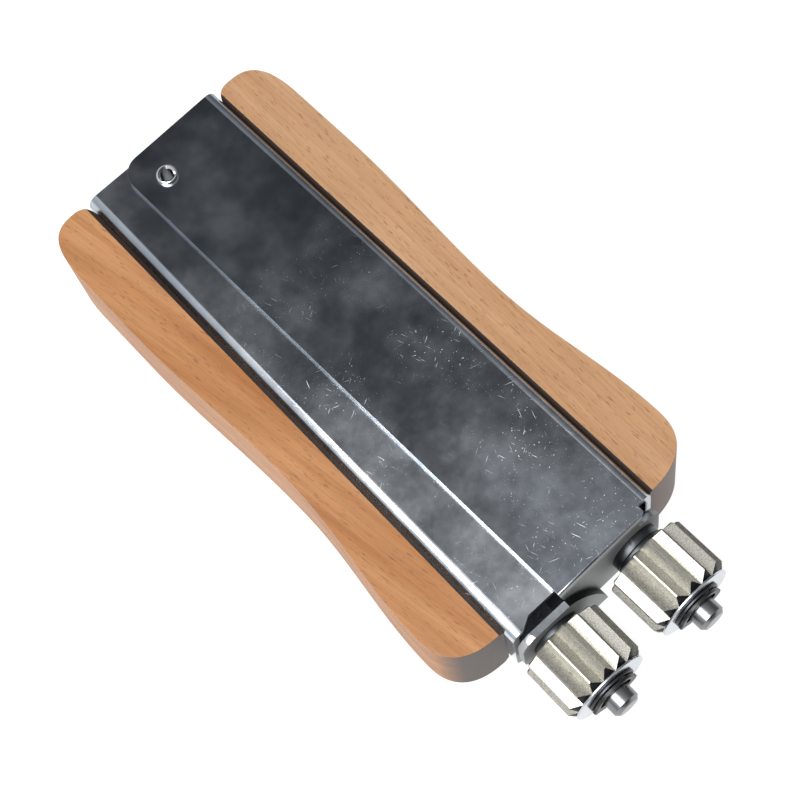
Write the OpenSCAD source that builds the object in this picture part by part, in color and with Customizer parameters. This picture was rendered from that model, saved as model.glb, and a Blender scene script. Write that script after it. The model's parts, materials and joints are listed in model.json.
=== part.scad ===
// Hand-squeezed crimper for beehive frame wire: two folded steel jaws on one
// rivet, a beech grip on each, and a toothed roller at the end of each jaw.
// The tool lies flat: +Z up, rollers towards -Y, pivot towards +Y.

/* [Jaws] */
// Thickness of the jaw sheet
sheet_t = 1.5; // [1.2:0.1:1.6]
// Outer height of each folded jaw
jaw_h = 19.4; // [18.8:0.2:20.4]
// Height of the jaws' underside above the table
jaw_lift = 1.5; // [1.2:0.1:2]
// Width of the right jaw, from its back to its free edges
right_w = 26.4; // [25.6:0.2:27]
// Width of the left jaw, from its back to its free edges
left_w = 22.1; // [21.5:0.2:22.9]
// Distance from the pivot to the back of the right jaw
right_back = 19.9; // [19.5:0.1:20.3]
// Distance from the pivot to the back of the left jaw
left_back = 15.6; // [15.2:0.1:16]
// Length of the jaws behind the pivot
jaw_tail = 8.2; // [7.5:0.1:9]
// Distance from the pivot to the front face of the right end tab
right_fold = 121; // [116:1:124]
// Outer radius of the long bends
bend_r = 2.3; // [1.8:0.1:2.6]
// Radius of the flanges' rear free corners
corner_r = 4.6; // [3:0.2:6]
// How far the jaws stand open at rest, in degrees
open_angle = 1.35; // [1.2:0.05:1.5]

/* [End tabs] */
// Depth of the right end tab, from its folded flange
right_tab = 19.2; // [18:0.1:19.2]
// Depth of the left end tab, from its folded flange
left_tab = 18.5; // [18:0.1:19.2]
// How far each tab's free edge curves in over its depth
tab_sweep = 9.8; // [8:0.2:11]
// Height of the relief slot beside the fold
slot_h = 4.2; // [3.6:0.2:4.6]
// Distance from the jaw's back to the end of the relief slot
slot_reach = 5.7; // [5:0.1:6.2]
// Radius of the tabs' corners beside the back
tab_corner_r = 3.4; // [2.6:0.2:3.8]

/* [Rollers] */
// Outside diameter of the rollers
roller_d = 18.6; // [18:0.1:18.7]
// Length of the rollers
roller_len = 13.35; // [13:0.05:13.6]
// Number of teeth on each roller
teeth = 15; // [13:2:17]
// Depth of the V grooves between the teeth
groove_depth = 1.8; // [1.2:0.1:2]
// Width of the flat left on each tooth
land_w = 0.35; // [0.2:0.05:1]
// Diameter of the smooth collar in front of the teeth
collar_d = 16.8; // [16:0.1:17.4]
// Thickness of the collar
collar_t = 0.45; // [0.4:0.05:0.8]
// Distance from the right jaw's back to its roller's axis
right_inset = 7.5; // [7.4:0.05:7.7]
// Distance from the left jaw's back to its roller's axis
left_inset = 8.15; // [8:0.05:8.3]

/* [Pins] */
// Diameter of the roller pins
pin_d = 6; // [5.6:0.1:6.2]
// Diameter of the riveted shank through the tab
shank_d = 4.8; // [4.4:0.1:5]
// Length of a pin ahead of its retaining clip
pin_lead = 3.5; // [3:0.1:4.4]
// Outside diameter of the washers
washer_d = 11; // [10.6:0.1:11.4]
// Thickness of the washer behind the right roller
right_washer_t = 1.2; // [1:0.1:1.4]
// Thickness of the washer behind the left roller
left_washer_t = 1.6; // [1.4:0.1:1.8]
// Thickness of the thin washers behind the clips
front_washer_t = 0.5; // [0.4:0.05:0.6]
// Outside diameter of the retaining clips
clip_d = 11.2; // [10.8:0.1:11.6]
// Thickness of the retaining clips
clip_t = 0.7; // [0.6:0.1:0.8]

/* [Grips] */
// Thickness of the wooden grips
grip_t = 20.5; // [19.5:0.1:20.8]
// Width of a grip near the pivot
grip_rear_w = 12.1; // [11.5:0.1:13]
// Width of a grip at its waist
grip_waist_w = 9.95; // [9.4:0.05:10.6]
// Greatest width of a grip, at its front bulge
grip_front_w = 13.1; // [12.4:0.1:13.6]
// How far a grip's waist lies ahead of the pivot
grip_waist_y = 68; // [64:1:72]
// How far a grip's front bulge lies ahead of the pivot
grip_bulge_y = 107; // [105:0.5:109]
// How far a grip's front end lies ahead of the pivot
grip_front_y = 118; // [117:0.5:118.5]

/* [Pivot and spring] */
// Diameter of the pivot rivet
rivet_d = 3.6; // [3.2:0.1:4]
// Diameter of the rivet's rolled rims
rivet_rim_d = 4.6; // [4.4:0.1:5.4]
// How far the return spring lies ahead of the pivot
spring_y = 60; // [50:1:70]
// Mean diameter of the return spring
spring_d = 9.2; // [8.6:0.1:9.8]
// Diameter of the spring wire
spring_wire = 1.2; // [1:0.1:1.4]
// Number of coils in the return spring
spring_coils = 9; // [7:1:11]
// Turn of the right roller's teeth, in degrees
right_phase = 15; // [0:1:24]
// Turn of the left roller's teeth, in degrees
left_phase = 21; // [0:1:24]

/* [Hidden] */
$fn = 72;

leaf_gap = 0.1;                              // between the two jaws' flanges
right_z = jaw_lift + sheet_t + leaf_gap;     // underside of the right jaw
top_z = right_z + jaw_h;                     // top of the right jaw
axis_z = (jaw_lift + top_z) / 2;             // height of both roller axes

tab_gap = 0.45;                              // between the two end tabs
left_fold = right_fold + sheet_t + tab_gap;  // the left tab runs in front
flange_gap = 0.9;                            // from a tab to its jaw's back
tab_side = 0.2;                              // tab's edge to the jaw's back face
fold_r = 0.9;                                // outer radius of the end folds
notch_r = slot_h / 2;
relief_x = 10.2;                             // the left flange ends early up to here
relief_y = right_fold - sheet_t - 0.5;

spin_gap = 0.1;                              // end play beside a roller
run_fit = 0.05;                              // radial clearance on a pin
rear_washer_y = left_fold;
right_roller_y = rear_washer_y + right_washer_t + spin_gap;
left_roller_y = rear_washer_y + left_washer_t + spin_gap;
front_step = roller_len + spin_gap;          // roller's rear face to its front washer
clip_step = front_step + front_washer_t + 0.15;
right_pin_end = right_roller_y + clip_step + clip_t + pin_lead;
left_pin_end = left_roller_y + clip_step + clip_t + pin_lead;
groove_d = 5;                                // clip's groove in the pin
sink_d = 6.8;                                // riveted end, sunk in the tab
sink_t = 1;

screw_ys = [28, 94];                         // grip screws ahead of the pivot
screw_d = 3.5;
screw_reach = 8;                             // screw length inside the wood
head_d = 7;
head_t = 2;

rivet_bore = 2.8;
rivet_stand = 0.9;                           // rim's height above the flange
spacer_d = 7;

seat_d = 11.4;                               // spring seat's flange
seat_t = 1.2;
seat_shank_d = 4;
boss_d = spring_d - spring_wire - 0.8;
boss_len = 6;
right_seat_x = right_back - sheet_t - seat_t;
left_seat_x = left_back - sheet_t - seat_t + spring_y * sin(open_angle);
spring_len = right_seat_x + left_seat_x - 0.3;

grip_ease = 1.1;                             // eased edge beside the jaw
grip_extra = 0.3;                            // right grip wider, left narrower
rear_nose_w = 3.5;                           // where a grip's rear tip lies
grip_tail = 8.4;                             // grip's reach behind the pivot

rest_right = right_back + grip_front_w + grip_extra;
rest_left = (left_back + grip_front_w - grip_extra) * cos(open_angle) + grip_bulge_y * sin(open_angle);
pivot_x = (rest_left - rest_right) / 2;      // centres the tool on the origin
reach_front = left_pin_end * cos(open_angle) - (left_back - left_inset - pin_d / 2 + 0.7) * sin(open_angle);
reach_rear = grip_tail * cos(open_angle) + (left_back + rear_nose_w) * sin(open_angle);
pivot_y = (reach_front - reach_rear) / 2;

steel = [0.62, 0.64, 0.66];
bright_steel = [0.78, 0.80, 0.82];
dark_steel = [0.25, 0.26, 0.28];
beech = [0.84, 0.62, 0.42];

// ---- places ---------------------------------------------------------------

module on_right() translate([pivot_x, pivot_y, 0]) children();

module on_left() translate([pivot_x, pivot_y, 0]) rotate([0, 0, -open_angle]) children();

// A piece made for the right, seen in a mirror on the left
module mirrored() mirror([1, 0, 0]) children();

// A piece made for the right, turned over about the tool's long axis
module turned_over() translate([0, 0, 2 * axis_z]) rotate([0, 180, 0]) children();

// A flat shape seen from the front, as a solid from y0 to y1 ahead of the pivot
module ahead(y0, y1) translate([0, -y0, 0]) rotate([90, 0, 0]) linear_extrude(y1 - y0) children();

// Something turned about +Z, laid along +X from x, ahead of the pivot by y
module across(x, y) translate([x, -y, axis_z]) rotate([0, 90, 0]) children();

// Points on an arc about (x, y), from angle a0 to a1
function arc(x, y, r, a0, a1, steps = 8) =
    [for (i = [0 : steps]) let (a = a0 + (a1 - a0) * i / steps) [x + r * cos(a), y + r * sin(a)]];

// Points on a quarter of a rounded curve about (x, y), flatter as n falls
function quarter(x, y, rx, ry, n, a0, a1, steps) =
    [for (i = [0 : steps]) let (a = a0 + (a1 - a0) * i / steps)
        [x + rx * sign(cos(a)) * pow(abs(cos(a)), 2 / n), y + ry * sign(sin(a)) * pow(abs(sin(a)), 2 / n)]];

// ---- folded jaws ----------------------------------------------------------

// Section of a jaw's back and flanges, back face at x = 0, open side at -w
module back_rounded(w, z0, h, r) {
    translate([-w, z0]) square([w - r, h]);
    translate([-r - 1, z0 + r]) square([r + 1, h - 2 * r]);
    for (z = [z0 + r, z0 + h - r]) translate([-r, z]) circle(r);
}

module channel_section(w) difference() {
    back_rounded(w, right_z, jaw_h, bend_r);
    translate([-sheet_t, 0]) back_rounded(w, right_z + sheet_t, jaw_h - 2 * sheet_t, bend_r - sheet_t);
}

// End tab seen from the front, hanging from the fold at the jaw's top
module tab_outline(w, depth) {
    side = -tab_side - tab_corner_r;
    polygon(concat(
        quarter(tab_sweep - w, top_z, tab_sweep, depth, 1.47, 180, 270, 14),
        arc(side, top_z - depth + tab_corner_r, tab_corner_r, -90, 0),
        arc(side, top_z - slot_h - tab_corner_r, tab_corner_r, 0, 90),
        arc(notch_r - slot_reach, top_z - notch_r, notch_r, -90, -270, 12)
    ));
}

// Flange and tab seen from the side, front face at 0
module fold_section(depth) polygon(concat(
    arc(fold_r, top_z - fold_r, fold_r, 180, 90, 6),
    [
        [sheet_t + flange_gap + 1, top_z],
        [sheet_t + flange_gap + 1, top_z - sheet_t],
        [sheet_t, top_z - sheet_t],
        [sheet_t, top_z - depth],
        [0, top_z - depth],
    ]
));

module pin_hole(fold, inset) {
    translate([-inset, 0, axis_z]) ahead(fold - sheet_t - 1, fold + 1) circle(d = shank_d);
    translate([-inset, sheet_t - fold, axis_z]) rotate([90, 0, 0])
        cylinder(d1 = sink_d, d2 = shank_d, h = sink_t);
}

module rear_corner(w) difference() {
    translate([-w - 1, jaw_tail - corner_r, 0]) cube([corner_r + 1, corner_r + 1, 30]);
    translate([-w + corner_r, jaw_tail - corner_r, 0]) cylinder(r = corner_r, h = 30);
}

// Jaw with its back face at x = back and its tab folded down from the top
module jaw(w, back, inset, fold, depth, hole_d) difference() {
    translate([back, 0, 0]) difference() {
        union() {
            ahead(-jaw_tail, fold - sheet_t - flange_gap) channel_section(w);
            intersection() {
                translate([-w, -fold, 0]) rotate([90, 0, 90]) linear_extrude(w) fold_section(depth);
                ahead(fold - sheet_t - flange_gap - 0.5, fold) tab_outline(w, depth);
            }
        }
        pin_hole(fold, inset);
        rear_corner(w);
        for (y = screw_ys) translate([-sheet_t - 1, -y, axis_z]) rotate([0, 90, 0]) cylinder(d = screw_d, h = sheet_t + 2);
        translate([-sheet_t - 1, -spring_y, axis_z]) rotate([0, 90, 0]) cylinder(d = seat_shank_d, h = sheet_t + 2);
    }
    cylinder(d = hole_d, h = 30);
}

module right_jaw() color(steel) on_right()
    jaw(right_w, right_back, right_inset, right_fold, right_tab, rivet_d);

// The flange away from the fold is cut short, clear of the right tab
module left_jaw() color(steel) on_left() turned_over() difference() {
    jaw(left_w, left_back, left_inset, left_fold, left_tab, rivet_d + 2 * run_fit);
    translate([0, 0, right_z - 1]) linear_extrude(sheet_t + 1.6) polygon([
        [-20, -relief_y],
        [relief_x, -relief_y],
        [relief_x + 2.8, sheet_t + flange_gap - left_fold - 0.02],
        [relief_x + 2.8, sheet_t + 0.15 - left_fold],
        [-20, sheet_t + 0.15 - left_fold],
    ]);
}

// ---- grips ----------------------------------------------------------------

// Width of a grip at y ahead of the pivot, eased between its three widths
function grip_w(y) = y < grip_waist_y
    ? grip_rear_w + (grip_waist_w - grip_rear_w) * (1 - cos(180 * (y - 20) / (grip_waist_y - 20))) / 2
    : grip_waist_w + (grip_front_w - grip_waist_w)
        * (1 - cos(180 * (y - grip_waist_y) / (grip_bulge_y - grip_waist_y))) / 2;

// Outline seen from above, inner face on x = 0
module grip_outline(extra) {
    front = grip_front_y - grip_bulge_y;
    polygon(concat(
        quarter(0, -grip_bulge_y, grip_front_w + extra, front, 2.65, 270, 360, 14),
        [for (y = [grip_bulge_y - 3 : -3 : 21]) [grip_w(y) + extra, -y]],
        quarter(rear_nose_w, -6, grip_rear_w + extra - rear_nose_w, grip_tail + 6, 3, 0, 90, 12),
        arc(rear_nose_w, grip_tail - rear_nose_w, rear_nose_w, 90, 180, 6)
    ));
}

module grip(back, extra) difference() {
    translate([back, 0, 0]) linear_extrude(grip_t) grip_outline(extra);
    for (z = [0, grip_t]) translate([back, 20, z]) rotate([0, 45, 0]) translate([-grip_ease / sqrt(2), -150, -grip_ease / sqrt(2)])
        cube([grip_ease * sqrt(2), 160, grip_ease * sqrt(2)]);
    for (y = screw_ys) across(back, y) {
        cylinder(d = screw_d, h = screw_reach - 2);
        translate([0, 0, screw_reach - 2]) cylinder(d1 = screw_d, d2 = 0.6, h = 2);
    }
}

module right_grip() color(beech) on_right() grip(right_back, grip_extra);

module left_grip() color(beech) on_left() mirrored() grip(left_back, -grip_extra);

// Two pan-head wood screws, driven outwards from inside the jaw
module grip_screws(back) for (y = screw_ys) difference() {
    across(back - sheet_t, y) {
        translate([0, 0, -head_t]) cylinder(d = head_d, h = head_t);
        cylinder(d = screw_d, h = sheet_t + screw_reach - 2);
        translate([0, 0, sheet_t + screw_reach - 2]) cylinder(d1 = screw_d, d2 = 0.6, h = 2);
    }
    translate([back - sheet_t - head_t - 1, -y - 0.5, axis_z - head_d]) cube([2, 1, 2 * head_d]);
}

module right_grip_screws() color(bright_steel) on_right() grip_screws(right_back);

module left_grip_screws() color(bright_steel) on_left() mirrored() grip_screws(left_back);

// ---- pivot ----------------------------------------------------------------

// Half section of the rivet's rolled rim, seated at height 0
module rim_section() {
    translate([rivet_bore / 2, 0]) square([rivet_rim_d / 2 - rivet_bore / 2 - 0.4, rivet_stand]);
    translate([rivet_bore / 2, 0]) square([rivet_rim_d / 2 - rivet_bore / 2, rivet_stand - 0.4]);
    translate([rivet_rim_d / 2 - 0.4, rivet_stand - 0.4]) circle(0.4);
}

module pivot_rivet() color(bright_steel) on_right() {
    difference() {
        translate([0, 0, jaw_lift - 0.1]) cylinder(d = rivet_d, h = top_z - jaw_lift + 0.2);
        cylinder(d = rivet_bore, h = 30);
    }
    translate([0, 0, top_z]) rotate_extrude() rim_section();
    translate([0, 0, jaw_lift - 0.05]) mirror([0, 0, 1]) rotate_extrude() rim_section();
}

// Tube that keeps the flanges apart on the rivet
module pivot_spacer() color(steel) on_right() difference() {
    translate([0, 0, right_z + sheet_t]) cylinder(d = spacer_d, h = jaw_h - 2 * sheet_t - sheet_t - leaf_gap - 0.1);
    cylinder(d = rivet_d, h = 30);
}

// ---- return spring --------------------------------------------------------

// Centre of the wire after u turns, closed up over the first and last turn
function coil_rise(u) = let (
    tight = spring_wire * 1.05,
    pitch = (spring_len - spring_wire - 2 * tight) / (spring_coils - 2)
) u < 1 ? u * tight : u < spring_coils - 1 ? tight + (u - 1) * pitch
    : spring_len - spring_wire - (spring_coils - u) * tight;

module coil() {
    steps = 22;
    sides = 8;
    rings = spring_coils * steps;
    points = [for (i = [0 : rings]) for (k = [0 : sides - 1]) let (
        turn = 360 * i / steps,
        a = 360 * k / sides,
        r = spring_d / 2 + spring_wire / 2 * cos(a)
    ) [r * cos(turn), r * sin(turn), spring_wire / 2 + coil_rise(i / steps) + spring_wire / 2 * sin(a)]];
    skin = [for (i = [0 : rings - 1]) for (k = [0 : sides - 1])
        [i * sides + k, i * sides + (k + 1) % sides, (i + 1) * sides + (k + 1) % sides, (i + 1) * sides + k]];
    ends = [[for (k = [0 : sides - 1]) sides - 1 - k], [for (k = [0 : sides - 1]) rings * sides + k]];
    polyhedron(points, concat(skin, ends));
}

module return_spring() color(bright_steel) on_right()
    across(right_seat_x - 0.05 - spring_len, spring_y) coil();

// Turned seat riveted into a jaw's back: flange, boss and flush shank
module spring_seat(back) across(back - sheet_t, spring_y) {
    translate([0, 0, -seat_t]) cylinder(d = seat_d, h = seat_t);
    translate([0, 0, -seat_t - boss_len]) cylinder(d = boss_d, h = boss_len);
    cylinder(d = seat_shank_d, h = sheet_t);
}

module right_spring_seat() color(steel) on_right() spring_seat(right_back);

module left_spring_seat() color(steel) on_left() mirrored() spring_seat(left_back);

// ---- rollers and their pins -----------------------------------------------

// Moves a shape seen from the front onto a roller axis, x beside the pivot
module on_axis(x) translate([x, 0, axis_z]) children();

right_axis_x = right_back - right_inset;
left_axis_x = left_back - left_inset;

module pin(x, fold, end) on_axis(x) {
    translate([0, -fold, 0]) rotate([90, 0, 0]) difference() {
        union() {
            cylinder(d = pin_d, h = end - fold - 0.7);
            translate([0, 0, end - fold - 0.7]) cylinder(d1 = pin_d, d2 = pin_d - 1.4, h = 0.7);
            translate([0, 0, -sheet_t]) cylinder(d = shank_d, h = sheet_t);
            translate([0, 0, -sheet_t]) cylinder(d1 = sink_d, d2 = shank_d, h = sink_t);
        }
        translate([0, 0, end - pin_lead - clip_t - fold]) difference() {
            cylinder(d = pin_d + 1, h = clip_t);
            cylinder(d = groove_d, h = clip_t);
        }
    }
}

module right_pin() color(steel) on_right() pin(right_axis_x, right_fold, right_pin_end);

module left_pin() color(steel) on_left() mirrored() pin(left_axis_x, left_fold, left_pin_end);

// A flat ring on a roller axis, y ahead of the pivot
module ring(x, y, t) on_axis(x) ahead(y, y + t) difference() {
    circle(d = washer_d);
    circle(d = pin_d + 0.2);
}

// Makes up for the right tab lying behind the left one
module right_pin_spacer() color(steel) on_right() ring(right_axis_x, right_fold, left_fold - right_fold);

module right_rear_washer() color(steel) on_right() ring(right_axis_x, rear_washer_y, right_washer_t);

module left_rear_washer() color(steel) on_left() mirrored() ring(left_axis_x, rear_washer_y, left_washer_t);

module right_front_washer() color(steel) on_right()
    ring(right_axis_x, right_roller_y + front_step, front_washer_t);

module left_front_washer() color(steel) on_left() mirrored()
    ring(left_axis_x, left_roller_y + front_step, front_washer_t);

// Teeth seen from the front: narrow lands with a V groove between each two
module teeth_outline(phase) difference() {
    polygon([for (i = [0 : teeth - 1]) for (k = [0 : 2]) let (
        pitch = 360 / teeth,
        half = asin(land_w / roller_d),
        a = phase + i * pitch + [-half, half, pitch / 2][k],
        r = k == 2 ? roller_d / 2 - groove_depth : roller_d / 2
    ) [r * cos(a), r * sin(a)]]);
    circle(d = pin_d + 2 * run_fit);
}

// Toothed roller, its teeth chamfered to their roots behind a smooth collar
module roller(x, y, phase) on_axis(x) {
    teeth_end = roller_len - collar_t;
    intersection() {
        ahead(y, y + teeth_end + 0.05) teeth_outline(phase);
        translate([0, -y, 0]) rotate([90, 0, 0]) rotate_extrude() polygon([
            [0, 0],
            [roller_d / 2 - 0.4, 0],
            [roller_d / 2, 0.4],
            [roller_d / 2, teeth_end - groove_depth + 0.4],
            [roller_d / 2 - groove_depth - 0.1, teeth_end + 0.5],
            [0, teeth_end + 0.5],
        ]);
    }
    ahead(y + teeth_end, y + roller_len) difference() {
        circle(d = collar_d);
        circle(d = pin_d + 2 * run_fit);
    }
}

module right_roller() color(bright_steel) on_right() roller(right_axis_x, right_roller_y, right_phase);

module left_roller() color(bright_steel) on_left() mirrored() roller(left_axis_x, left_roller_y, left_phase);

// Open retaining clip: an outer band with three lugs that reach the groove
module clip(x, y) on_axis(x) ahead(y, y + clip_t) {
    difference() {
        circle(d = clip_d);
        circle(d = clip_d - 3);
        translate([-2.6, -clip_d]) square([5.2, clip_d]);
    }
    for (a = [-32, 90, 212]) difference() {
        rotate(a) translate([0, -1]) square([clip_d / 2 - 1, 2]);
        circle(d = groove_d);
    }
}

module right_clip() color(dark_steel) on_right() clip(right_axis_x, right_roller_y + clip_step);

module left_clip() color(dark_steel) on_left() mirrored() clip(left_axis_x, left_roller_y + clip_step);

right_jaw();
left_jaw();
right_grip();
left_grip();
right_grip_screws();
left_grip_screws();
pivot_rivet();
pivot_spacer();
return_spring();
right_spring_seat();
left_spring_seat();
right_pin();
left_pin();
right_pin_spacer();
right_rear_washer();
left_rear_washer();
right_roller();
left_roller();
right_front_washer();
left_front_washer();
right_clip();
left_clip();
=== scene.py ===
"""Visual model of a hand-squeezed crimper for beehive frame wire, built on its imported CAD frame.

Pieces are drawn in millimetres as their CAD nodes are: x and y from the pivot, z up from
the table, a left-hand piece as its right-hand twin that is then seen in a mirror.
"""

import json
import math

import bmesh
import bpy
from mathutils import Matrix, Vector


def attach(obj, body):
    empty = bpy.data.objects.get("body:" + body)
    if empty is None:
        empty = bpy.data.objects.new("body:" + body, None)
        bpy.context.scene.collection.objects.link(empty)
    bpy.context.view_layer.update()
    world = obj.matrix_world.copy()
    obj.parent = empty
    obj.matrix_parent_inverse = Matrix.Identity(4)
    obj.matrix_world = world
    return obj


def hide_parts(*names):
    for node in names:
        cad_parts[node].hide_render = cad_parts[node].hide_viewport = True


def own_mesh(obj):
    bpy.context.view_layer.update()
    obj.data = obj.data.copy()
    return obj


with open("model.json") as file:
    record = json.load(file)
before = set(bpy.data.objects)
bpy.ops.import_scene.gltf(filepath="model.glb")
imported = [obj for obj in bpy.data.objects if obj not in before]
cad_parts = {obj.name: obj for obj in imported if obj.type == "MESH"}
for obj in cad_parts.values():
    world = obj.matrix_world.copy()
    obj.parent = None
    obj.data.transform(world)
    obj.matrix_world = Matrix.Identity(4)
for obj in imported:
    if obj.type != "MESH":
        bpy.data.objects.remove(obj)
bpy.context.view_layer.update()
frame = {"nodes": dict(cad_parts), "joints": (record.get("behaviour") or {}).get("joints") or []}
scene = bpy.context.scene
scene.view_settings.view_transform = "Standard"

MM = 0.001
WELD = 2e-6                           # points closer than this are one, in metres
SEAM = 1e-4                           # the same for a piece that is still in millimetres
OPEN_ANGLE = 1.35                     # how far the left half stands open, degrees
RIGHT_BACK, LEFT_BACK = 19.9, 15.6    # from the pivot to the jaws' backs
SHEET = 1.5
AXIS_Z = 12.0                         # height of the roller axes
TOP_Z, LOW_Z = 22.5, 1.5              # faces of the stacked jaws
RIGHT_AXIS, LEFT_AXIS = 12.4, 7.45    # from the pivot line to the roller axes
RIGHT_FOLD, LEFT_FOLD = 121.0, 122.95
RIGHT_WASHER, LEFT_WASHER = 1.2, 1.6  # rear washers
PLAY = 0.1                            # each side of a roller
WHITE = (1.0, 1.0, 1.0, 1.0)

hinge = next(j for j in frame["joints"] if j["name"] == "jaw_hinge")
pivot = Vector((hinge["pos_m"][0], hinge["pos_m"][1], 0))
ON_RIGHT = Matrix.Translation(pivot) @ Matrix.Scale(MM, 4)
ON_LEFT = (Matrix.Translation(pivot) @ Matrix.Rotation(math.radians(-OPEN_ANGLE), 4, "Z")
           @ Matrix.Diagonal((-MM, MM, MM, 1)))
HALVES = {"right": ON_RIGHT, "left": ON_LEFT}


# ---- nodes and materials ----------------------------------------------------

def linear(code):
    """An sRGB hex colour as linear RGBA."""
    parts = [int(code[i:i + 2], 16) / 255 for i in (1, 3, 5)]
    return tuple(c / 12.92 if c <= 0.04045 else ((c + 0.055) / 1.055) ** 2.4 for c in parts) + (1.0,)


def add(tree, kind, inputs=None, **settings):
    """Adds a node; inputs maps a socket's name or number to a value or to a socket to link."""
    node = tree.nodes.new(kind)
    for key, value in settings.items():
        setattr(node, key, value)
    for key, value in (inputs or {}).items():
        if isinstance(value, bpy.types.NodeSocket):
            tree.links.new(value, node.inputs[key])
        else:
            node.inputs[key].default_value = value
    return node


def start_material(name, colour, roughness, metallic=0.0):
    material = bpy.data.materials.new(name)
    material.use_nodes = True
    material.diffuse_color = linear(colour)
    shader = material.node_tree.nodes["Principled BSDF"]
    shader.inputs["Base Color"].default_value = linear(colour)
    shader.inputs["Roughness"].default_value = roughness
    shader.inputs["Metallic"].default_value = metallic
    return material, material.node_tree, shader


# Sheet patterns, in repeats a metre: clouds are 15 mm across, patches 21, mottle 2.4 and specks 0.4
CLOUDS, PATCHES, MOTTLE, SPECKS = 65, 48, 420, 2600
# Wear fades from the middle of the tool, y = 0, to here, in metres
WORN_TO = 0.042
# Scratches are hairlines on the real sheet, here 0.3 mm wide to show
SCRATCH_WIDTH = 1 / 3300
# For each way that scratches run: its angle, repeats a metre along it, and how rare they are
SCRATCHES = ((18, 210, 0.73), (68, 170, 0.74), (118, 260, 0.735), (158, 150, 0.75))


def zinc_sheet(name, shift, dull, bright):
    """Zinc-plated cold-rolled sheet, worn: a cloudy mirror with short pale scratches and specks."""
    material, tree, shader = start_material(name, bright, 0.2, 1.0)
    unmoved = add(tree, "ShaderNodeTexCoord").outputs["Object"]
    place = add(tree, "ShaderNodeMapping", {"Vector": unmoved, "Location": shift}).outputs[0]
    # rolling and plating leave clouds
    cloud = add(tree, "ShaderNodeTexNoise", {
        "Vector": place, "Scale": CLOUDS, "Detail": 4, "Roughness": 0.6})
    # the half nearest the rollers is the more worn
    along = add(tree, "ShaderNodeSeparateXYZ", {0: unmoved})
    worn = add(tree, "ShaderNodeMapRange", {
        "Value": along.outputs["Y"], "From Min": WORN_TO, "From Max": 0.0, "To Min": 0.06, "To Max": 1.0})
    patch = add(tree, "ShaderNodeTexNoise", {"Vector": place, "Scale": PATCHES, "Detail": 2})
    patch = add(tree, "ShaderNodeMapRange", {
        "Value": patch.outputs[0], "From Min": 0.46, "From Max": 0.6, "To Min": 0.12, "To Max": 1.0})
    worn_here = add(tree, "ShaderNodeMath", {
        0: worn.outputs[0], 1: patch.outputs[0]}, operation="MULTIPLY")
    specks = add(tree, "ShaderNodeTexNoise", {"Vector": place, "Scale": SPECKS, "Detail": 1})
    specks = add(tree, "ShaderNodeMapRange", {
        "Value": specks.outputs[0], "From Min": 0.72, "From Max": 0.78})
    marks = specks.outputs[0]
    for turn, repeats, limit in SCRATCHES:
        turned = add(tree, "ShaderNodeMapping", {
            "Vector": place, "Rotation": (0, 0, math.radians(turn)),
            "Scale": (SCRATCH_WIDTH, 1 / repeats, 1)}, vector_type="TEXTURE")
        lines = add(tree, "ShaderNodeTexNoise", {"Vector": turned.outputs[0], "Scale": 1, "Detail": 1})
        cut = add(tree, "ShaderNodeMapRange", {
            "Value": lines.outputs[0], "From Min": limit, "From Max": limit + 0.05})
        marks = add(tree, "ShaderNodeMath", {0: marks, 1: cut.outputs[0]}, operation="MAXIMUM").outputs[0]
    marks = add(tree, "ShaderNodeMath", {
        0: marks, 1: worn_here.outputs[0]}, operation="MULTIPLY").outputs[0]
    mottle = add(tree, "ShaderNodeTexNoise", {
        "Vector": place, "Scale": MOTTLE, "Detail": 3, "Roughness": 0.6})
    mottle = add(tree, "ShaderNodeMath", {0: mottle.outputs[0], 1: worn.outputs[0]}, operation="MULTIPLY")
    tone = add(tree, "ShaderNodeMath", {0: cloud.outputs[0], 1: mottle.outputs[0]}, operation="ADD")
    tone = add(tree, "ShaderNodeMapRange", {"Value": tone.outputs[0], "From Min": 0.45, "From Max": 1.2})
    plain = add(tree, "ShaderNodeMix", {
        0: tone.outputs[0], 6: linear(dull), 7: linear(bright)}, data_type="RGBA")
    shown = add(tree, "ShaderNodeMix", {
        0: marks, 6: plain.outputs[2], 7: linear("#F2F4F6")}, data_type="RGBA")
    tree.links.new(shown.outputs[2], shader.inputs["Base Color"])
    soft = add(tree, "ShaderNodeMapRange", {
        "Value": cloud.outputs[0], "From Min": 0.35, "From Max": 0.65, "To Min": 0.16, "To Max": 0.25})
    soft = add(tree, "ShaderNodeMix", {0: marks, 2: soft.outputs[0], 3: 0.6})
    tree.links.new(soft.outputs[0], shader.inputs["Roughness"])
    wave = add(tree, "ShaderNodeBump", {
        "Height": cloud.outputs[0], "Distance": 0.04 * MM, "Strength": 0.22})
    tree.links.new(wave.outputs[0], shader.inputs["Normal"])
    return material


# Beech patterns in millimetres, across and along the grain, with their detail
GRAIN = {"growth": (5, 90, 3), "fibre": (0.5, 16, 3), "fleck": (0.28, 2.2, 1)}


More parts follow.
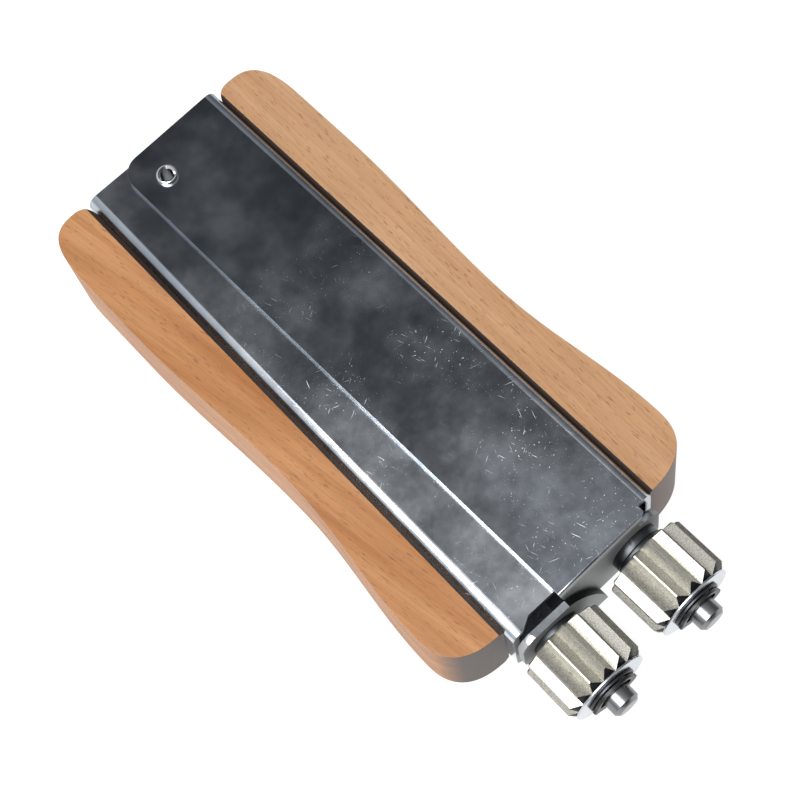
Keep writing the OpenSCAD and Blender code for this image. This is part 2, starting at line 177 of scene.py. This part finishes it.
def beech(name, pale, deep, fleck, end_grain_and_shade, slant, shift):
    """Steamed beech, sanded and waxed: fine straight grain with short dark ray flecks along it."""
    material, tree, shader = start_material(name, pale, 0.5)
    place = add(tree, "ShaderNodeTexCoord").outputs["Object"]
    place = add(tree, "ShaderNodeMapping", {
        "Vector": place, "Location": shift, "Rotation": (0, 0, math.radians(slant))}).outputs[0]
    layers = {}
    for layer, (wide, long, detail) in GRAIN.items():
        scaled = add(tree, "ShaderNodeMapping", {
            "Vector": place, "Scale": (1 / (wide * MM), 1 / (long * MM), 1 / (wide * MM))})
        layers[layer] = add(tree, "ShaderNodeTexNoise", {
            "Vector": scaled.outputs[0], "Scale": 1, "Detail": detail}).outputs[0]
    growth = add(tree, "ShaderNodeMapRange", {
        "Value": layers["growth"], "From Min": 0.36, "From Max": 0.68})
    colour = add(tree, "ShaderNodeMix", {
        0: growth.outputs[0], 6: linear(pale), 7: linear(deep)}, data_type="RGBA")
    fibre = add(tree, "ShaderNodeMapRange", {
        "Value": layers["fibre"], "From Min": 0.3, "From Max": 0.7, "To Min": 0.86, "To Max": 1.1})
    colour = add(tree, "ShaderNodeMix", {
        0: 1.0, 6: colour.outputs[2], 7: fibre.outputs[0]}, data_type="RGBA", blend_type="MULTIPLY")
    spots = add(tree, "ShaderNodeMapRange", {
        "Value": layers["fleck"], "From Min": 0.62, "From Max": 0.72, "To Max": 0.6})
    colour = add(tree, "ShaderNodeMix", {
        0: spots.outputs[0], 6: colour.outputs[2], 7: linear(fleck)}, data_type="RGBA")
    # both ends are darker: partly end grain that the cutter burnt, partly painted shade on the faces that
    # look along the grip
    facing = add(tree, "ShaderNodeSeparateXYZ", {0: add(tree, "ShaderNodeNewGeometry").outputs["Normal"]})
    ends = add(tree, "ShaderNodeMath", {0: facing.outputs["Y"]}, operation="ABSOLUTE")
    ends = add(tree, "ShaderNodeMapRange", {"Value": ends.outputs[0], "From Min": 0.25, "From Max": 0.8})
    colour = add(tree, "ShaderNodeMix", {
        0: ends.outputs[0], 6: colour.outputs[2], 7: linear(end_grain_and_shade)}, data_type="RGBA")
    tree.links.new(colour.outputs[2], shader.inputs["Base Color"])
    pores = add(tree, "ShaderNodeBump", {"Height": layers["fibre"], "Distance": 0.08 * MM, "Strength": 0.5})
    tree.links.new(pores.outputs[0], shader.inputs["Normal"])
    return material


def grained_metal(name, dark, light, roughness, grit, depth):
    """A metal whose surface is granular, with grit and depth in millimetres."""
    material, tree, shader = start_material(name, light, roughness, 1.0)
    place = add(tree, "ShaderNodeTexCoord").outputs["Object"]
    grain = add(tree, "ShaderNodeTexNoise", {
        "Vector": place, "Scale": 1 / (grit * MM), "Detail": 3, "Roughness": 0.65})
    tone = add(tree, "ShaderNodeMapRange", {"Value": grain.outputs[0], "From Min": 0.35, "From Max": 0.6})
    colour = add(tree, "ShaderNodeMix", {
        0: tone.outputs[0], 6: linear(dark), 7: linear(light)}, data_type="RGBA")
    tree.links.new(colour.outputs[2], shader.inputs["Base Color"])
    bump = add(tree, "ShaderNodeBump", {
        "Height": grain.outputs[0], "Distance": depth * MM, "Strength": 1.0})
    tree.links.new(bump.outputs[0], shader.inputs["Normal"])
    return material


# the same zinc sheet on both jaws: the left copy's colours are lighter than the right's, a painted
# difference in reflected light
right_sheet = zinc_sheet("zinc_sheet_right", (0, 0, 0), "#8D959F", "#C3CAD3")
left_sheet = zinc_sheet("zinc_sheet_left", (0.21, 0.07, 0), "#A2ABB6", "#E3E9F0")
# the last colour is each grip's darker ends, partly painted shade, made deeper on the left grip
right_beech = beech("waxed_beech_right", "#B48D69", "#A4774F", "#7A4F32", "#6E5A4E", 1.5, (0, 0, 0))
left_beech = beech("waxed_beech_left", "#B07E52", "#9A6232", "#784826", "#4C3F38", -7, (0.13, 0.05, 0.02))
# where the press dragged the sheet round its die the plate turned satin and grey, and its grey is made
# darker as painted shade
satin_shaded_tab = start_material("zinc_sheet_satin_painted_shade", "#989B9B", 0.55, 0.35)[0]
# the tab's sheared edge, which faces the other jaw, is painted nearly black as painted shade
tab_edge_shade_material = start_material("tab_edge_painted_shade", "#26282A", 0.55, 1.0)[0]
# the eased edge beside the steel is painted near-black brown as painted shade, in the step below the jaw
beech_edge_shade_material = start_material("beech_edge_painted_shade", "#2C1E16", 0.6)[0]
# zinc plate over coarse hobbed teeth: pale, warm and granular, with no clear reflections
plated_teeth = grained_metal("plated_hobbed_teeth", "#8E8C82", "#BDBBB4", 0.42, 0.28, 0.01)
# the same plate over faces turned smooth, which reflect clearly
turned_face = start_material("plated_turned_face", "#C9CED4", 0.22, 1.0)[0]
# the chamfer on the teeth's front ends is painted nearly black as painted shade, in the gap behind the
# collar
chamfer_painted_shade = start_material("chamfer_painted_shade", "#37383A", 0.45, 1.0)[0]
# bright-drawn steel bar, turned: reflects in long streaks
turned_steel = start_material("turned_steel", "#86888A", 0.26, 1.0)[0]
# stamped washer steel, zinc plated, its colour darkened as painted shade where it sits between the parts
washer_steel_painted_shade = start_material("zinc_washer_painted_shade", "#4E5154", 0.36, 1.0)[0]
# oil-blacked spring steel: nearly black with a soft sheen
black_clip = start_material("oil_blacked_spring_steel", "#1C1D1F", 0.38)[0]
# nickel-plated brass rivet, polished by the tool that rolled it
rivet_metal = start_material("nickel_plated_rivet", "#D8DADC", 0.16, 1.0)[0]
# zinc-plated wood screw
screw_metal = start_material("zinc_plated_screw", "#B9BCC0", 0.3, 1.0)[0]
# hard-drawn wire
spring_wire = start_material("hard_drawn_wire", "#A9ABAE", 0.28, 1.0)[0]


# ---- meshes -----------------------------------------------------------------

def shade(source, crease, breadth):
    """Smooth shading but across creases, and flat on faces broader than breadth, in millimetres."""
    source.normal_update()
    for face in source.faces:
        face.smooth = face.calc_area() / face.calc_perimeter() < breadth * MM
    for edge in source.edges:
        edge.smooth = len(edge.link_faces) == 2 and edge.calc_face_angle(0) < math.radians(crease)


def piece(name, source, materials, body, node):
    """Makes an object of a shaded bmesh in metres, on a body, in place of a CAD node."""
    mesh = bpy.data.meshes.new(name)
    source.to_mesh(mesh)
    source.free()
    for material in materials:
        mesh.materials.append(material)
    obj = bpy.data.objects.new(name, mesh)
    scene.collection.objects.link(obj)
    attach(obj, body)
    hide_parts(node)
    return obj


def made(name, source, materials, body, node, crease=35):
    """A piece drawn here, smooth but for its creases."""
    shade(source, crease, 1.2)
    return piece(name, source, materials, body, node)


def set_down(source, half, x=0.0, z=0.0):
    """Moves a bmesh in millimetres to its place on a half of the tool, its faces outwards."""
    bmesh.ops.translate(source, verts=source.verts, vec=(x, 0, z))
    bmesh.ops.transform(source, verts=source.verts, matrix=HALVES[half])
    bmesh.ops.remove_doubles(source, verts=source.verts, dist=WELD)
    bmesh.ops.recalc_face_normals(source, faces=source.faces)
    return source


def soften(obj, width, segments=2, limit=35):
    """Breaks the edges sharper than a limit in degrees, by a width in millimetres."""
    bevel = obj.modifiers.new("soft_edges", "BEVEL")
    bevel.width = width * MM
    bevel.segments = segments
    bevel.limit_method = "ANGLE"
    bevel.angle_limit = math.radians(limit)
    bevel.harden_normals = True


def from_cad(node, materials, body, width, paint=None):
    """A CAD node's own shape with its sharp edges broken, its faces painted by a rule."""
    source = bmesh.new()
    source.from_mesh(frame["nodes"][node].data)
    bmesh.ops.remove_doubles(source, verts=source.verts, dist=WELD)
    bmesh.ops.dissolve_limit(source, angle_limit=math.radians(1), verts=source.verts, edges=source.edges)
    shade(source, 180, 0.45)
    if paint:
        for face in source.faces:
            face.material_index = paint(face)
    soften(piece(node + "_finished", source, materials, body, node), width)


def lathe(profile, steps=96):
    """Spins a closed profile of (radius, distance ahead of the pivot) about a roller axis."""
    source = bmesh.new()
    rings = []
    for i in range(steps):
        turn = 2 * math.pi * i / steps
        rings.append([source.verts.new((r * math.cos(turn), -y, r * math.sin(turn))) for r, y in profile])
    for i in range(steps):
        near, far = rings[i], rings[(i + 1) % steps]
        for k in range(len(profile)):
            n = (k + 1) % len(profile)
            if profile[k][0] > 0 or profile[n][0] > 0:
                source.faces.new((near[k], near[n], far[n], far[k]))
    bmesh.ops.remove_doubles(source, verts=source.verts, dist=SEAM)
    bmesh.ops.dissolve_degenerate(source, edges=source.edges, dist=1e-6)
    return source


def rounded(r, y, radius, start, steps=5):
    """A quarter round in a profile, about (r, y), from an angle in degrees."""
    return [(r + radius * math.cos(math.radians(start + 90 * i / steps)),
             y + radius * math.sin(math.radians(start + 90 * i / steps))) for i in range(steps + 1)]


def ring_profile(bore, outer, y0, y1, edge):
    return ([(bore, y0)] + rounded(outer - edge, y0 + edge, edge, -90)
            + rounded(outer - edge, y1 - edge, edge, 0) + [(bore, y1)])


# ---- jaws -------------------------------------------------------------------

def ahead(face):
    """How far a face lies ahead of the pivot, in millimetres."""
    return -(ON_RIGHT.inverted() @ face.calc_center_median()).y


def right_jaw_paint(face):
    """Material 1 for the tab: every face near the fold or past it that doesn't lie level."""
    return int(ahead(face) > RIGHT_FOLD - SHEET - 0.2 and abs(face.normal.z) < 0.8)


def left_jaw_paint(face):
    """As the right jaw's, with material 2, a painted shade, for the tab's sheared edge, which faces the
    other jaw.
    """
    if ahead(face) > LEFT_FOLD - SHEET - 0.1 and face.normal.x > 0.3:
        return 2
    return right_jaw_paint(face)


from_cad("right_jaw", [right_sheet, satin_shaded_tab], "right_half", 0.15, right_jaw_paint)
from_cad("left_jaw", [left_sheet, satin_shaded_tab, tab_edge_shade_material], "left_half", 0.15, left_jaw_paint)


# ---- grips ------------------------------------------------------------------

GRIP_T = 20.5                          # height
REAR_W, WAIST_W, FRONT_W = 12.1, 9.95, 13.1
RIGHT_EXTRA, LEFT_EXTRA = 0.3, -0.3    # the right grip is the broader one
SWELL_Y, WAIST_Y, BULGE_Y, FRONT_Y = 20, 68, 107, 118
NOSE, TAIL = 3.5, 8.4                  # the rear end's round beside the jaw, and its reach behind the pivot
SHOULDER_Y = 6                         # where the rear end starts
EASE = 1.1                             # of the two edges beside the jaw


def grip_width(y):
    """A grip's width ahead of the pivot: half a cosine wave down to the waist, and one up."""
    low, high, a, b = ((REAR_W, WAIST_W, SWELL_Y, WAIST_Y) if y < WAIST_Y
                       else (WAIST_W, FRONT_W, WAIST_Y, BULGE_Y))
    return low + (high - low) * (1 - math.cos(math.pi * (y - a) / (b - a))) / 2


def squared_arc(x, y, rx, ry, power, start, steps):
    """A quarter of a squared-off ellipse about (x, y)."""
    points = []
    for i in range(steps + 1):
        a = math.radians(start + 90 * i / steps)
        c, s = math.cos(a), math.sin(a)
        points.append((x + rx * math.copysign(abs(c) ** (2 / power), c),
                       y + ry * math.copysign(abs(s) ** (2 / power), s)))
    return points


def grip(side, back, extra, material):
    """A beech grip on a jaw's back, its outline drawn from the front end round to the rear."""
    outline = squared_arc(0, -BULGE_Y, FRONT_W + extra, FRONT_Y - BULGE_Y, 2.65, 270, 28)
    outline += [(grip_width(y / 2) + extra, -y / 2) for y in range(2 * BULGE_Y - 3, 2 * SWELL_Y + 1, -3)]
    outline += squared_arc(NOSE, -SHOULDER_Y, REAR_W + extra - NOSE, TAIL + SHOULDER_Y, 3, 0, 28)
    outline += squared_arc(NOSE, TAIL - NOSE, NOSE, NOSE, 2, 90, 10)
    source = bmesh.new()
    low = [source.verts.new((x, y, 0)) for x, y in outline]
    face = source.faces.new(low)
    raised = bmesh.ops.extrude_face_region(source, geom=[face])
    verts = [v for v in raised["geom"] if isinstance(v, bmesh.types.BMVert)]
    bmesh.ops.translate(source, verts=verts, vec=(0, 0, GRIP_T))
    bmesh.ops.remove_doubles(source, verts=source.verts, dist=SEAM)
    for z, lean in ((GRIP_T - EASE, 1), (EASE, -1)):
        cut = bmesh.ops.bisect_plane(
            source, geom=source.verts[:] + source.edges[:] + source.faces[:],
            plane_co=(0, 0, z), plane_no=(-1, 0, lean), clear_outer=True)
        edges = [e for e in cut["geom_cut"] if isinstance(e, bmesh.types.BMEdge)]
        # the eased faces beside the jaw get material 1, their painted shade
        for new in bmesh.ops.contextual_create(source, geom=edges)["faces"]:
            new.material_index = 1
    obj = made(side + "_grip_beech", set_down(source, side, back), [material, beech_edge_shade_material],
               side + "_half", side + "_grip", 30)
    soften(obj, 0.7, 4, 40)


grip("right", RIGHT_BACK, RIGHT_EXTRA, right_beech)
grip("left", LEFT_BACK, LEFT_EXTRA, left_beech)
for side in ("right", "left"):
    from_cad(side + "_grip_screws", [screw_metal], side + "_half", 0.12)
    from_cad(side + "_spring_seat", [turned_steel], side + "_half", 0.12)
from_cad("pivot_spacer", [washer_steel_painted_shade], "right_half", 0.1)
from_cad("right_pin_spacer", [washer_steel_painted_shade], "right_half", 0.1)


# ---- pivot rivet ------------------------------------------------------------

def upright(source):
    """Turns a lathed shape's axis up, so that ahead of the pivot becomes up from the table."""
    bmesh.ops.rotate(source, verts=source.verts, matrix=Matrix.Rotation(math.radians(-90), 3, "X"))
    return source


RIVET_R, RIVET_BORE, RIM_R, RIM_H = 1.8, 1.4, 2.3, 0.9
ROLL = 0.45                            # radius that the rims are rolled to
LIP = 0.4                              # how far the bore's ends lie inside the rims
UNDER_RIM = LOW_Z - 0.05
rivet = ([(RIVET_BORE, LOW_Z - RIM_H + LIP)] + rounded(RIM_R - ROLL, LOW_Z - RIM_H + ROLL, ROLL, -90)
         + [(RIM_R, UNDER_RIM), (RIVET_R, UNDER_RIM), (RIVET_R, TOP_Z), (RIM_R, TOP_Z)]
         + rounded(RIM_R - ROLL, TOP_Z + RIM_H - ROLL, ROLL, 0) + [(RIVET_BORE, TOP_Z + RIM_H - LIP)])
made("pivot_rivet_rolled", set_down(upright(lathe(rivet)), "right"), [rivet_metal],
     "right_half", "pivot_rivet", 40)


# ---- rollers ----------------------------------------------------------------

ROLLER_R, TEETH, TOOTH_DEPTH, LAND = 9.3, 15, 1.8, 0.35
ROLLER_LEN, COLLAR_R, COLLAR_T, BORE_R = 13.35, 8.4, 0.45, 3.05
FRONT_RUN = 1.4                       # how far the teeth's chamfer reaches behind the collar
REAR_RUN = 0.4                        # the chamfer at their rear ends
COLLAR_EDGE, COLLAR_STEPS = 0.12, 120
RIGHT_PHASE, LEFT_PHASE = 15, 21      # how far each roller is turned, degrees


def tooth_sector():
    """One tooth and its two half grooves, its crest along the axis at radius ROLLER_R, +x."""
    source = bmesh.new()
    half = math.asin(LAND / 2 / ROLLER_R)
    pitch = 2 * math.pi / TEETH
    root = ROLLER_R - TOOTH_DEPTH
    end = ROLLER_LEN - COLLAR_T
    rows = []
    # a root has no chamfers, so there its middle stations all but meet its ends
    for angle, crest in ((-pitch / 2, False), (-half, True), (half, True), (pitch / 2, False)):
        outer = ROLLER_R if crest else root
        stations = [(BORE_R, 0), (outer - REAR_RUN * crest, 0), (outer, REAR_RUN if crest else 0.02),
                    (outer, end - FRONT_RUN if crest else end - 0.01),
                    (ROLLER_R - FRONT_RUN if crest else root, end), (BORE_R, end + COLLAR_T / 2)]
        rows.append([source.verts.new((r * math.cos(angle), -y, r * math.sin(angle))) for r, y in stations])
    for near, far in zip(rows, rows[1:]):
        for k in range(len(near)):
            n = (k + 1) % len(near)
            source.faces.new((near[k], near[n], far[n], far[k]))
    bmesh.ops.recalc_face_normals(source, faces=source.faces)
    mesh = bpy.data.meshes.new("tooth_sector")
    source.to_mesh(mesh)
    source.free()
    return mesh


def repeat_tree(material):
    """Geometry nodes that set a sector down round the Y axis as many times as it is told."""
    tree = bpy.data.node_groups.new("teeth_round_a_roller", "GeometryNodeTree")
    for name, kind in (("Sector", "Geometry"), ("Teeth", "Int"), ("Phase", "Float")):
        tree.interface.new_socket(name=name, in_out="INPUT", socket_type="NodeSocket" + kind)
    tree.interface.new_socket(name="Roller", in_out="OUTPUT", socket_type="NodeSocketGeometry")
    given = add(tree, "NodeGroupInput")
    points = add(tree, "GeometryNodePoints", {"Count": given.outputs["Teeth"]})
    index = add(tree, "GeometryNodeInputIndex")
    share = add(tree, "ShaderNodeMath", {
        0: index.outputs[0], 1: given.outputs["Teeth"]}, operation="DIVIDE")
    turn = add(tree, "ShaderNodeMath", {
        0: share.outputs[0], 1: -2 * math.pi, 2: given.outputs["Phase"]}, operation="MULTIPLY_ADD")
    spin = add(tree, "ShaderNodeCombineXYZ", {"Y": turn.outputs[0]})
    copies = add(tree, "GeometryNodeInstanceOnPoints", {
        "Points": points.outputs[0], "Instance": given.outputs["Sector"], "Rotation": spin.outputs[0]})
    real = add(tree, "GeometryNodeRealizeInstances", {0: copies.outputs[0]})
    painted = add(tree, "GeometryNodeSetMaterial", {"Geometry": real.outputs[0], "Material": material})
    add(tree, "NodeGroupOutput", {0: painted.outputs[0]})
    return tree


def run_tree(tree, mesh, values):
    """What a tree makes of a mesh, as a bmesh."""
    carrier = bpy.data.objects.new("carrier", mesh)
    scene.collection.objects.link(carrier)
    modifier = carrier.modifiers.new("tree", "NODES")
    modifier.node_group = tree
    for item in tree.interface.items_tree:
        if item.in_out == "INPUT" and item.name in values:
            modifier[item.identifier] = values[item.name]
    result = bpy.data.meshes.new_from_object(
        carrier.evaluated_get(bpy.context.evaluated_depsgraph_get()))
    carrier.modifiers.remove(modifier)
    bpy.data.objects.remove(carrier)
    source = bmesh.new()
    source.from_mesh(result)
    return source


teeth_tree = repeat_tree(plated_teeth)
sector = tooth_sector()


def roller(side, axis, start, phase):
    """A toothed shell and, as the last faces of its mesh, the smooth collar in front of it."""
    source = run_tree(teeth_tree, sector, {"Teeth": TEETH, "Phase": -math.radians(phase)})
    bmesh.ops.translate(source, verts=source.verts, vec=(0, -start, 0))
    bmesh.ops.remove_doubles(source, verts=source.verts, dist=SEAM)
    toothed = len(source.faces)
    teeth_end = start + ROLLER_LEN - COLLAR_T
    collar = ring_profile(BORE_R, COLLAR_R, teeth_end, start + ROLLER_LEN, COLLAR_EDGE)
    front = lathe(collar, COLLAR_STEPS)
    loose = bpy.data.meshes.new("collar")
    front.to_mesh(loose)
    front.free()
    source.from_mesh(loose)
    source.faces.ensure_lookup_table()
    for face in source.faces:
        # faces on the teeth's front chamfer get material 2, their painted shade
        chamfer = -face.calc_center_median().y > teeth_end - FRONT_RUN and abs(face.normal.y) > 0.3
        face.material_index = 1 if face.index >= toothed else 2 if chamfer else 0
    obj = made(side + "_roller_toothed", set_down(source, side, axis, AXIS_Z),
               [plated_teeth, turned_face, chamfer_painted_shade],
               side + "_roller", side + "_roller", 25)
    soften(obj, 0.07, 2, 30)


RIGHT_START = LEFT_FOLD + RIGHT_WASHER + PLAY
LEFT_START = LEFT_FOLD + LEFT_WASHER + PLAY
roller("right", RIGHT_AXIS, RIGHT_START, RIGHT_PHASE)
roller("left", LEFT_AXIS, LEFT_START, LEFT_PHASE)


# ---- pins, washers and clips ------------------------------------------------

PIN_R, SHANK_R, SINK_R, GROOVE_R, PIN_LEAD = 3.0, 2.4, 3.4, 2.5, 3.5
WASHER_R, FRONT_WASHER, CLIP_T = 5.5, 0.5, 0.7
HEAD_H = 1                             # of the riveted cone in the jaw
GROOVE_EDGE = 0.06
CLIP_GAP = 0.15                        # between the front washer and the clip
BAND_R, BAND_BORE, FOOT_H = 4.75, 3.9, 0.85
BAND_SPAN = 152                        # degrees each way from the top
FEET, LUGS = 106, (-122, 0, 122)       # degrees from the top
LUG_R = GROOVE_R + 0.02                # to the lugs' ends
REAR_EDGE, FRONT_EDGE = 0.2, 0.12      # roundings of the washers


def bump(angle, centre, half_width, power):
    """One at the centre, a half at half_width from it, and nought far away."""
    return 1 / (1 + (abs(angle - centre) / half_width) ** power)


def clip(start):
    """Open retaining clip: a band that widens to two feet, with three lugs on the groove."""
    source = bmesh.new()
    outer, inner = [], []
    count = BAND_SPAN // 2
    for i in range(count + 1):
        a = -BAND_SPAN + 2 * BAND_SPAN * i / count
        r_out = BAND_R + FOOT_H * bump(abs(a), FEET, 13, 4)
        lug = max(bump(a, centre, 17, 6) for centre in LUGS)
        r_in = BAND_BORE - (BAND_BORE - LUG_R) * lug
        t = math.radians(90 - a)
        outer.append((r_out * math.cos(t), r_out * math.sin(t)))
        inner.append((r_in * math.cos(t), r_in * math.sin(t)))
    near = [[source.verts.new((x, -start, z)) for x, z in row] for row in (outer, inner)]
    far = [[source.verts.new((x, -start - CLIP_T, z)) for x, z in row] for row in (outer, inner)]
    for i in range(count):
        for a, b in ((near[0], near[1]), (near[1], far[1]), (far[1], far[0]), (far[0], near[0])):
            source.faces.new((a[i], a[i + 1], b[i + 1], b[i]))
    for i in (0, count):
        source.faces.new((near[0][i], near[1][i], far[1][i], far[0][i]))
    return source


for side, axis, fold, start, washer in (
        ("right", RIGHT_AXIS, RIGHT_FOLD, RIGHT_START, RIGHT_WASHER),
        ("left", LEFT_AXIS, LEFT_FOLD, LEFT_START, LEFT_WASHER)):
    washer_start = start + ROLLER_LEN + PLAY
    clip_start = washer_start + FRONT_WASHER + CLIP_GAP
    clip_end = clip_start + CLIP_T
    end = clip_end + PIN_LEAD
    pin = [(0, fold - SHEET), (SINK_R, fold - SHEET), (SHANK_R, fold - SHEET + HEAD_H), (SHANK_R, fold),
           (PIN_R, fold), (PIN_R, clip_start - GROOVE_EDGE), (PIN_R - GROOVE_EDGE, clip_start),
           (GROOVE_R, clip_start), (GROOVE_R, clip_end), (PIN_R - GROOVE_EDGE, clip_end),
           (PIN_R, clip_end + GROOVE_EDGE)]
    # a chamfer with its own corners eased
    pin += [(PIN_R, end - 0.78), (PIN_R - 0.011, end - 0.74), (PIN_R - 0.62, end - 0.1),
            (PIN_R - 0.74, end - 0.02), (PIN_R - 0.85, end), (0, end)]
    made(side + "_pin_turned", set_down(lathe(pin), side, axis, AXIS_Z), [turned_steel],
         side + "_half", side + "_pin", 28)
    for label, y0, y1, edge in (
            ("rear", LEFT_FOLD, LEFT_FOLD + washer, REAR_EDGE),
            ("front", washer_start, washer_start + FRONT_WASHER, FRONT_EDGE)):
        profile = ring_profile(PIN_R + 0.1, WASHER_R, y0, y1, edge)
        made(f"{side}_{label}_washer_stamped", set_down(lathe(profile), side, axis, AXIS_Z),
             [washer_steel_painted_shade], side + "_half", f"{side}_{label}_washer", 30)
    obj = made(side + "_clip_stamped", set_down(clip(clip_start), side, axis, AXIS_Z), [black_clip],
               side + "_half", side + "_clip", 50)
    soften(obj, 0.1, 2, 50)


# ---- return spring ----------------------------------------------------------

SPRING_Y, SPRING_R, WIRE_R, COILS = 60, 4.6, 0.6, 9
FLANGE_T = 1.2                         # of the spring seats
RIGHT_SEAT = RIGHT_BACK - SHEET - FLANGE_T
LEFT_SEAT = LEFT_BACK - SHEET - FLANGE_T + SPRING_Y * math.sin(math.radians(OPEN_ANGLE))
SPRING_LEN = RIGHT_SEAT + LEFT_SEAT - 0.3
COIL_LEN = SPRING_LEN - 2 * WIRE_R - 0.1


def coil_tree(material):
    """Geometry nodes for a coil of wire about the Z axis."""
    tree = bpy.data.node_groups.new("coiled_wire", "GeometryNodeTree")
    tree.interface.new_socket(name="Base", in_out="INPUT", socket_type="NodeSocketGeometry")
    for name in ("Coils", "Radius", "Length", "Wire Radius"):
        tree.interface.new_socket(name=name, in_out="INPUT", socket_type="NodeSocketFloat")
    tree.interface.new_socket(name="Spring", in_out="OUTPUT", socket_type="NodeSocketGeometry")
    given = add(tree, "NodeGroupInput")
    path = add(tree, "GeometryNodeCurveSpiral", {
        "Resolution": 40, "Rotations": given.outputs["Coils"], "Start Radius": given.outputs["Radius"],
        "End Radius": given.outputs["Radius"], "Height": given.outputs["Length"]})
    section = add(tree, "GeometryNodeCurvePrimitiveCircle", {
        "Resolution": 14, "Radius": given.outputs["Wire Radius"]})
    wire = add(tree, "GeometryNodeCurveToMesh", {
        "Curve": path.outputs[0], "Profile Curve": section.outputs[0], "Fill Caps": True})
    real = add(tree, "GeometryNodeRealizeInstances", {0: wire.outputs[0]})
    painted = add(tree, "GeometryNodeSetMaterial", {"Geometry": real.outputs[0], "Material": material})
    add(tree, "NodeGroupOutput", {0: painted.outputs[0]})
    return tree


coil = run_tree(coil_tree(spring_wire), bpy.data.meshes.new("spring_base"), {
    "Coils": float(COILS), "Radius": SPRING_R, "Length": COIL_LEN, "Wire Radius": WIRE_R})
bmesh.ops.rotate(coil, verts=coil.verts, matrix=Matrix.Rotation(math.radians(90), 3, "Y"))
bmesh.ops.translate(coil, verts=coil.verts, vec=(RIGHT_SEAT - SPRING_LEN + WIRE_R, -SPRING_Y, 0))
spring = made("return_spring_coil", set_down(coil, "right", 0, AXIS_Z), [spring_wire],
              "right_half", "return_spring", 60)
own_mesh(spring)


# ---- floor, light and camera ------------------------------------------------

FLOOR_GLOW, FLOOR_SIZE = 0.93, 1.6
floor_paint, _, floor_shader = start_material("white_table", "#707070", 1.0)
floor_shader.inputs["Specular IOR Level"].default_value = 0
floor_shader.inputs["Emission Color"].default_value = WHITE
floor_shader.inputs["Emission Strength"].default_value = FLOOR_GLOW
source = bmesh.new()
bmesh.ops.create_grid(source, size=FLOOR_SIZE)
floor_mesh = bpy.data.meshes.new("floor")
source.to_mesh(floor_mesh)
source.free()
floor_mesh.materials.append(floor_paint)
floor = bpy.data.objects.new("floor", floor_mesh)
scene.collection.objects.link(floor)

# A bright studio, dimmer low down, in front and to the right, with one dark opening high up behind
OPENING = Vector((0.185, 0.45, 0.87)).normalized()
OPENING_IN, OPENING_OUT = math.radians(9), math.radians(27)
world = bpy.data.worlds.new("studio")
scene.world = world
world.use_nodes = True
sky = world.node_tree
backdrop = sky.nodes["Background"]
away = add(sky, "ShaderNodeTexCoord").outputs["Generated"]
toward = add(sky, "ShaderNodeVectorMath", {0: away, 1: tuple(OPENING)}, operation="DOT_PRODUCT")
angle = add(sky, "ShaderNodeMath", {0: toward.outputs["Value"]}, operation="ARCCOSINE")
glow = add(sky, "ShaderNodeMapRange", {
    "Value": angle.outputs[0], "From Min": OPENING_IN, "From Max": OPENING_OUT,
    "To Min": 0.09, "To Max": 1.0}, interpolation_type="SMOOTHSTEP").outputs[0]
sides = add(sky, "ShaderNodeSeparateXYZ", {0: away})
# for each direction, where its dimming starts and ends, and the glow at each
for direction, first, last, first_glow, last_glow in (
        ("Z", 0.0, 0.7, 0.45, 0.85), ("Y", -0.75, -0.2, 0.1, 1.0), ("X", 0.1, 0.8, 1.0, 0.3)):
    dimmed = add(sky, "ShaderNodeMapRange", {
        "Value": sides.outputs[direction], "From Min": first, "From Max": last,
        "To Min": first_glow, "To Max": last_glow})
    glow = add(sky, "ShaderNodeMath", {0: glow, 1: dimmed.outputs[0]}, operation="MULTIPLY").outputs[0]
sky.links.new(glow, backdrop.inputs["Strength"])
backdrop.inputs["Color"].default_value = WHITE

softbox = bpy.data.lights.new("overhead_softbox", "AREA")
softbox.energy = 13                    # watts
softbox.size = 0.75
softbox_at = bpy.data.objects.new("overhead_softbox", softbox)
softbox_at.location = (-0.48, -0.1, 0.9)
softbox_at.rotation_euler = softbox_at.location.to_track_quat("Z", "Y").to_euler()
scene.collection.objects.link(softbox_at)

AZIMUTH, ELEVATION, TILT = (math.radians(a) for a in (-27.71, 68.06, -16.9))
DISTANCE, FOCAL = 0.40211, 2.5165      # in metres, and in sensor widths
SENSOR = 36
LOOK_AT = (1.24, -67.55, 13.5)         # in millimetres from the pivot
look = Vector((-math.sin(AZIMUTH) * math.cos(ELEVATION), math.cos(AZIMUTH) * math.cos(ELEVATION),
               -math.sin(ELEVATION)))
level = Vector((math.cos(AZIMUTH), math.sin(AZIMUTH), 0))
rise = level.cross(look)
across = level * math.cos(TILT) + rise * math.sin(TILT)
upward = rise * math.cos(TILT) - level * math.sin(TILT)
target = pivot + Vector(LOOK_AT) * MM
camera = bpy.data.cameras.new("camera")
camera.sensor_width = SENSOR
camera.lens = FOCAL * SENSOR
camera.clip_start = 0.01
camera_at = bpy.data.objects.new("camera", camera)
placed = Matrix((across, upward, -look)).transposed().to_4x4()
placed.translation = target - look * DISTANCE
camera_at.matrix_world = placed
scene.collection.objects.link(camera_at)
scene.camera = camera_at
